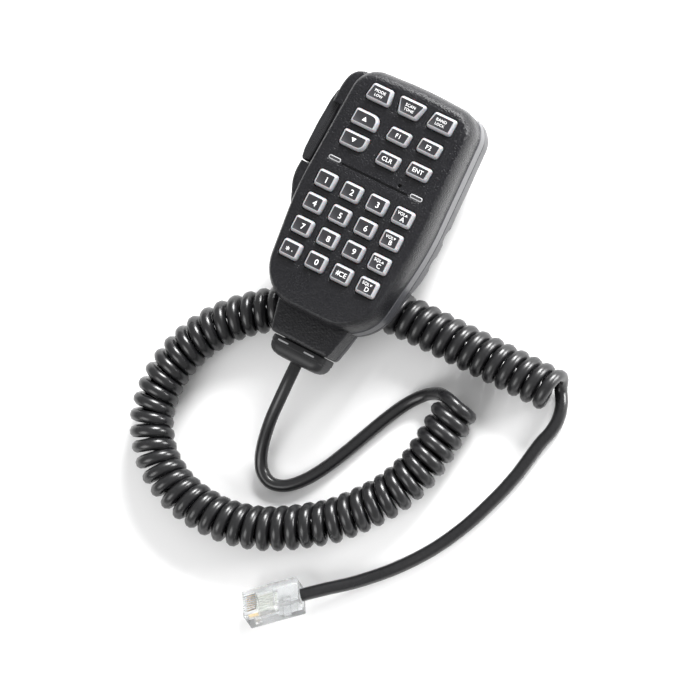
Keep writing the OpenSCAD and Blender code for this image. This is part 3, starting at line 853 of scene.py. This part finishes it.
def repeatTree(name, sockets):
    tree = bpy.data.node_groups.new(name, "GeometryNodeTree")
    tree.interface.new_socket(name="Geometry", in_out="INPUT", socket_type="NodeSocketGeometry")
    for label, kind in sockets + [("Piece", "NodeSocketObject"), ("Finish", "NodeSocketMaterial")]:
        tree.interface.new_socket(name=label, in_out="INPUT", socket_type=kind)
    tree.interface.new_socket(name="Geometry", in_out="OUTPUT", socket_type="NodeSocketGeometry")
    start, end = tree.nodes.new("NodeGroupInput"), tree.nodes.new("NodeGroupOutput")
    info = tree.nodes.new("GeometryNodeObjectInfo")
    place = tree.nodes.new("GeometryNodeInstanceOnPoints")
    real = tree.nodes.new("GeometryNodeRealizeInstances")
    finish = tree.nodes.new("GeometryNodeSetMaterial")
    link(tree, start.outputs["Piece"], info.inputs["Object"])
    link(tree, info.outputs["Geometry"], place.inputs["Instance"])
    link(tree, place.outputs["Instances"], real.inputs["Geometry"])
    link(tree, real.outputs["Geometry"], finish.inputs["Geometry"])
    link(tree, start.outputs["Finish"], finish.inputs["Material"])
    link(tree, finish.outputs["Geometry"], end.inputs["Geometry"])
    return tree, start, place


def rowTree():
    # Copies a fixed step apart
    tree, start, place = repeatTree("rowOfPieces", [("Count", "NodeSocketInt"), ("Start", "NodeSocketVector"),
                                                    ("Step", "NodeSocketVector")])
    line = tree.nodes.new("GeometryNodeMeshLine")
    line.mode = "OFFSET"
    link(tree, start.outputs["Count"], line.inputs["Count"])
    link(tree, start.outputs["Start"], line.inputs["Start Location"])
    link(tree, start.outputs["Step"], line.inputs["Offset"])
    link(tree, line.outputs["Mesh"], place.inputs["Points"])
    return tree


def spotsTree():
    # One copy on every point of the mesh that carries the modifier
    tree, start, place = repeatTree("piecesOnSpots", [("Size", "NodeSocketFloat")])
    link(tree, start.outputs["Geometry"], place.inputs["Points"])
    link(tree, start.outputs["Size"], place.inputs["Scale"])
    return tree


rowsOf, spotsOf = rowTree(), spotsTree()


def repeated(name, tree, values, spots=()):
    mesh = bpy.data.meshes.new(name)
    mesh.from_pydata([Vector(spot) * mm for spot in spots], [], [])
    holder = addObject(name, mesh)
    modifier = holder.modifiers.new("repeat", "NODES")
    modifier.node_group = tree
    for item in tree.interface.items_tree:
        if item.item_type == "SOCKET" and item.in_out == "INPUT" and item.name in values:
            modifier[item.identifier] = values[item.name]
    holder.update_tag()
    bpy.context.view_layer.update()
    made = bpy.data.meshes.new_from_object(holder.evaluated_get(bpy.context.evaluated_depsgraph_get()))
    holder.modifiers.clear()
    holder.data = made
    bpy.data.objects.remove(values["Piece"])
    return holder


def declare(piece, node, body="case"):
    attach(piece, body)
    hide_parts(node)
    return piece


# Rear shell, case screws, hanger stud
rearSet = {
    "side": [(2.7, 10.0), (1.9, 10.12), (1.2, 10.55), (0.6, 11.4), (0.2, 12.6), (0.04, 14), (0, 16), (0, 19.0),
             (0.18, 19.2)],
    "neckLow": 15.6,
    "tail": 17.2,
    "back": 10.0,
    "fingers": (-4.0, -15.5),
    "fingerX": 32.2,
    "fingerProfile": [(7.5, 8.5), (7.3, 10.2), (7.05, 11.5), (7.0, 13.5), (6.7, 15), (5.9, 16), (4.4, 16.5)],
    "screws": [(21.2, 26.5), (-21.2, 26.5), (22.5, -10.65), (-22.5, -10.65)],
    "screwZ": 10.6,
    "screwBore": [(2.3, 9.0), (2.3, 10.0), (2.1, 10.2), (2.1, 12.2), (1.2, 12.21), (1.2, 20.6)],
    "studBore": [(1.55, 9.0), (1.55, 14.0)],
    # space for the bush, and for the cord end and its clamp
    "cordRooms": [(-8.1, 8.1, -64, -59.8, 17.4, 20.4), (-4.2, 4.2, -61, -49, 17.6, 20.4)],
}


def tailCutter(lift):
    bm = bmesh.new()
    high, back = rearSet["tail"] + lift, rearSet["back"] + lift
    side = softCorners([(-80, -1), (-18, -1), (-18, back), (-32, high), (-52, high), (-58, high - 1.6),
                        (-80, high - 1.6)], 3.0)
    rings = [[bm.verts.new((x * mm, y * mm, z * mm)) for y, z in side] for x in (-40, 40)]
    loft(bm, rings)
    return finishMesh(bm, "tailCutter", [paint["rearPlastic"]])


def ringsTool(rows):
    bm = bmesh.new()
    loft(bm, [ringAt(bm, caseOutline(inset), z) for inset, z in rows])
    return finishMesh(bm, "ringsTool", [paint["rearPlastic"]], 32)


def lathes(profile, spots, steps=40):
    bm = bmesh.new()
    for spot in spots:
        lathe(bm, profile, steps, spot)
    return finishMesh(bm, "lathes", [paint["rearPlastic"]])


def rearShell():
    shell = ringsTool(rearSet["side"])
    shell.name = "rear_cover"
    outline = [(-x, y) for x, y in caseSet["neck"]] + caseSet["neck"][::-1]
    combine(shell, roundedPrism("neckBack", softCorners(outline, 1.5), rearSet["neckLow"], 19.2, 0.4,
                                [paint["rearPlastic"]]), "UNION")
    combine(shell, tailCutter(0), "DIFFERENCE")
    cavity = ringsTool([(caseSet["wall"], rearSet["back"] + 2), (caseSet["wall"], 20.4)])
    combine(cavity, tailCutter(2), "DIFFERENCE")
    combine(shell, cavity, "DIFFERENCE")
    for room in rearSet["cordRooms"]:
        combine(shell, block("room", *room), "DIFFERENCE")
    for y in rearSet["fingers"]:
        combine(shell, lathes(rearSet["fingerProfile"], [(-rearSet["fingerX"], y), (rearSet["fingerX"], y)], 48),
                "DIFFERENCE")
    combine(shell, lathes(rearSet["screwBore"], rearSet["screws"], 28), "DIFFERENCE")
    combine(shell, lathes(rearSet["studBore"], [(0, 0)], 28), "DIFFERENCE")
    recreased(shell, 30)
    return declare(shell, "rear_shell")


def crossedScrew(headRadius, headHigh, shankRadius, shankLong):
    piece = turned("screwPiece", [(headRadius * 0.75, 0), (headRadius * 0.92, 0.12), (headRadius, 0.4),
                                  (headRadius, headHigh), (shankRadius, headHigh + 0.02),
                                  (shankRadius, headHigh + shankLong - 0.5), (shankRadius * 0.5,
                                                                              headHigh + shankLong)],
                   "blackSteel", 28)
    reach = headRadius * 0.6
    for across, along in ((reach, 0.25), (0.25, reach)):
        combine(piece, block("cross", -across, across, -along, along, -0.5, 0.7), "DIFFERENCE")
    recreased(piece, 32)
    return piece


def caseScrews():
    spots = [(x, y, rearSet["screwZ"]) for x, y in rearSet["screws"]]
    screws = repeated("case_screw_set", spotsOf, {"Size": 1.0, "Piece": crossedScrew(1.9, 1.6, 0.9, 15),
                                                  "Finish": paint["blackSteel"]}, spots)
    return declare(screws, "case_screws")


def hangerStud():
    stud = turned("stud", [(6.9, 0), (7.3, 0.12), (7.5, 0.5), (7.5, 2.5), (7.3, 2.88), (6.9, 3.0), (4.9, 3.0),
                           (4.6, 3.1), (4.5, 3.4), (4.5, 9.7), (4.3, 10.0), (1.6, 10.0), (1.6, 2.0), (3.1, 2.0),
                           (3.1, 0.2), (3.3, 0)], "platedSteel", 64, True)
    declare(stud, "hanger_stud")
    screw = repeated("stud_fixing", spotsOf, {"Size": 1.0, "Piece": crossedScrew(3.0, 1.6, 1.5, 12.5),
                                              "Finish": paint["blackSteel"]}, [(0, 0, 0.3)])
    declare(screw, "stud_screw")


rearShell()
caseScrews()
hangerStud()
print("rear shell, screws and stud made")

# Cord bush: a stepped collar that rounds off towards the cord
bushSet = {
    "centreZ": 21.5,
    # y, half width, half height, corner radius
    "rows": [(-60.0, 7.8, 3.8, 2.0), (-63.28, 7.8, 3.8, 2.0), (-63.3, 10.9, 6.9, 2.7), (-63.6, 11.15, 7.15, 2.9),
             (-65.4, 11.2, 7.2, 3.0), (-65.7, 10.9, 6.95, 2.9), (-66.0, 10.9, 6.95, 2.9), (-66.3, 11.0, 7.0, 3.0),
             (-67.6, 10.7, 6.75, 3.2), (-68.7, 10.1, 6.2, 3.4), (-69.5, 9.1, 5.3, 3.5), (-69.9, 7.6, 4.1, 3.4),
             (-70.0, 6.0, 3.6, 3.2)],
    "bore": 2.45,
    "slotX": (-6.0, 4.9),
    "slotY": -64.7,
    "slotZ": 28.3,
}


def cordBush():
    bm = bmesh.new()
    rings = []
    for y, halfX, halfZ, radius in reversed(bushSet["rows"]):
        outline = roundedBox(0, 0, halfX, halfZ, radius, 6)
        rings.append([bm.verts.new((x * mm, y * mm, (bushSet["centreZ"] + z) * mm)) for x, z in outline])
    loft(bm, rings)
    bush = finishMesh(bm, "bush", [paint["bushRubber"]], 30)
    bore = turned("bore", [(bushSet["bore"], -80), (bushSet["bore"], -50)], "bushRubber", 32)
    bore.data.transform(Matrix.Translation((0, 0, bushSet["centreZ"] * mm))
                        @ Matrix.Rotation(math.radians(-90), 4, "X"))
    combine(bush, bore, "DIFFERENCE")
    recreased(bush, 30)
    declare(bush, "cord_bush")
    first, last = bushSet["slotX"]
    # two light-grey bars laid on the bush's slots: painted highlights of the slot edges
    edge = roundedPrism("edgePiece", roundedBox(0, 0, 2.2, 0.3, 0.25), 0, 0.45, 0.12, [paint["paleRimAndSlotHighlight"]], 2)
    edges = repeated("bush_slots", rowsOf, {
        "Count": 2, "Start": (first * mm, bushSet["slotY"] * mm, bushSet["slotZ"] * mm),
        "Step": ((last - first) * mm, 0, 0), "Piece": edge, "Finish": paint["paleRimAndSlotHighlight"]})
    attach(edges, "case")
    return bush, edges


bush, bushSlotHighlights = cordBush()
print("cord bush made")

# Modular plug, drawn along +X from the cord to the nose and then laid down
plugSet = {
    "entry": (37, -144, 6.6),
    "yaw": 222,
    "roll": 30,
    "long": 21.5,
    "half": (5.85, 4.0),
    "pitch": 1.02,
    "lanes": 8,
    "latch": [(3.5, -5.75), (13.3, -5.65), (18.1, -4.85), (18.9, -4.2), (18.6, -3.5), (17.6, -3.4), (17.1, -4.15),
              (3.5, -4.9)],
    # cord pocket, wire channel, latch root, cord clamp's window, and a step along each top edge
    "cuts": [(-1, 10, -3.6, 3.6, -2.5, 2.5), (9, 18, -4.4, 4.4, -0.6, 0.6), (16.7, 19.5, -3.4, 3.4, -5, -2.8),
             (5.5, 8.5, -3.2, 3.2, -5, -3.0), (11.5, 21.6, -7, -5.45, 1.6, 5), (11.5, 21.6, 5.45, 7, 1.6, 5)],
}
laid = (Matrix.Translation(Vector(plugSet["entry"]) * mm) @ Matrix.Rotation(math.radians(plugSet["yaw"]), 4, "Z")
        @ Matrix.Rotation(math.radians(plugSet["roll"]), 4, "X"))


def plugBody():
    long, (halfY, halfZ) = plugSet["long"], plugSet["half"]
    outline = softCorners([(0, -halfY), (long, -halfY), (long, halfY), (0, halfY)], 0.6)
    body = roundedPrism("plug_shell", outline, -halfZ, halfZ, 0.35, [paint["clearPlastic"]], 3)
    for i, cut in enumerate(plugSet["cuts"]):
        combine(body, block(f"cut{i}", *cut), "DIFFERENCE")
    slotPiece = block("slotPiece", 0, 6, -0.2, 0.2, 0.6, 5.6)
    slots = repeated("slots", rowsOf, rowValues(slotPiece, (16.3, 0), 0, "clearPlastic", False))
    combine(body, slots, "DIFFERENCE")
    recreased(body, 28)
    body.data.transform(laid)
    return declare(body, "plug_body")


def rowValues(piece, start, z, finish, laidDown=True):
    # Settings of one row across the plug
    place = Vector((start[0], -(plugSet["lanes"] - 1) / 2 * plugSet["pitch"], z)) * mm
    step = Vector((0, plugSet["pitch"], 0)) * mm
    if laidDown:
        place, step = laid @ place, laid.to_3x3() @ step
        piece.data.transform(laid.to_3x3().to_4x4())
    return {"Count": plugSet["lanes"], "Start": tuple(place), "Step": tuple(step), "Piece": piece,
            "Finish": paint[finish]}


def plugInside():
    outline = softCorners([(0, -0.15), (3.6, -0.15), (3.6, 0.15), (0, 0.15)], 0.08, 2)
    blade = roundedPrism("blade", outline, 0, 2.75, 0.05, [paint["goldPlate"]], 2)
    contacts = repeated("plug_blades", rowsOf, rowValues(blade, (16.5, 0), 0.8, "goldPlate"))
    declare(contacts, "plug_contacts")
    wire = turned("wirePiece", [(0.3, 0), (0.38, 0.06), (0.38, 8.5), (0.3, 8.55)], "wirePale", 14)
    wire.data.transform(Matrix.Rotation(math.radians(90), 4, "Y"))
    wires = repeated("plug_lanes", rowsOf, rowValues(wire, (9.25, 0), 0, "wirePale"))
    declare(wires, "plug_wires")
    return contacts, wires


def plugLatch():
    latch = roundedPrism("latch_tongue", softCorners(plugSet["latch"], 0.35, 3), -2.95, 2.95, 0.2,
                         [paint["clearPlastic"]], 2)
    latch.data.transform(laid @ Matrix.Rotation(math.radians(90), 4, "X"))
    return declare(latch, "plug_latch", "latch")


plugPieces = [plugBody(), *plugInside(), plugLatch()]
print("plug made")

# Finishes of the CAD nodes that stay as they are
nodeFinish = {
    "case_seal": "bushRubber",
    "board_screws": "blackSteel", "ptt_pin": "platedSteel", "ptt_switch": "chipBlack",
    "key_mat_upper": "matSilicone", "key_mat_lower": "matSilicone", "circuit_board": "boardMask",
    "key_domes": "goldPlate", "board_chips": "chipBlack", "indicator_lights": "ledResin",
    "microphone_capsule": "platedSteel",
    "capsule_boot": "bushRubber", "cord_inner_end": "cordPvc", "cord_clamp": "platedSteel",
    "inner_wires": "wireRed", "cord_socket": "socketNylon",
}
for node, finish in nodeFinish.items():
    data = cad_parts[node].data
    data.materials.clear()
    data.materials.append(paint[finish])
print("nodes painted")

# Floor and light
lightSet = {
    "floor": 0.9,
    "world": 0.62,
    # direction towards the lamp in the view's own axes: right, up, back; distance m, size m, power W
    "lamps": [((0.3, 1.0, 0.5), 1.3, 0.55, 42.0), ((1.0, 0.35, 0.45), 1.3, 0.5, 22.0),
              ((-0.8, -0.6, 0.7), 1.6, 1.0, 14.0)],
}


def addFloor():
    bm = bmesh.new()
    loft(bm, [ringAt(bm, [(-3000, -3000), (3000, -3000), (3000, 3000), (-3000, 3000)], z) for z in (-20.05, -0.05)])
    material = bpy.data.materials.new("paleFloor")
    material.use_nodes = True
    shader = material.node_tree.nodes["Principled BSDF"]
    tone = lightSet["floor"]
    nodeSocket(shader, "Base Color", (tone, tone, tone, 1))
    nodeSocket(shader, "Roughness", 0.9)
    nodeSocket(shader, "Specular IOR Level", 0.1)
    finishMesh(bm, "floor", [material])


def addLights():
    world = bpy.data.worlds.new("studio")
    bpy.context.scene.world = world
    world.use_nodes = True
    background = world.node_tree.nodes["Background"]
    nodeSocket(background, "Color", (1, 1, 1, 1))
    nodeSocket(background, "Strength", lightSet["world"])
    aim = Vector(cameraSet["aim"]) * mm
    for i, (way, distance, size, power) in enumerate(lightSet["lamps"]):
        data = bpy.data.lights.new(f"softbox{i}", "AREA")
        data.shape = "SQUARE"
        data.size = size
        data.energy = power
        lamp = bpy.data.objects.new(f"softbox{i}", data)
        direction = (viewRight * way[0] + viewUp * way[1] + viewBack * way[2]).normalized()
        lamp.location = aim + direction * distance
        lamp.rotation_euler = direction.to_track_quat("Z", "Y").to_euler()
        bpy.context.scene.collection.objects.link(lamp)
    bpy.context.scene.view_settings.view_transform = "Standard"


addFloor()
addLights()
print("floor and lights placed")
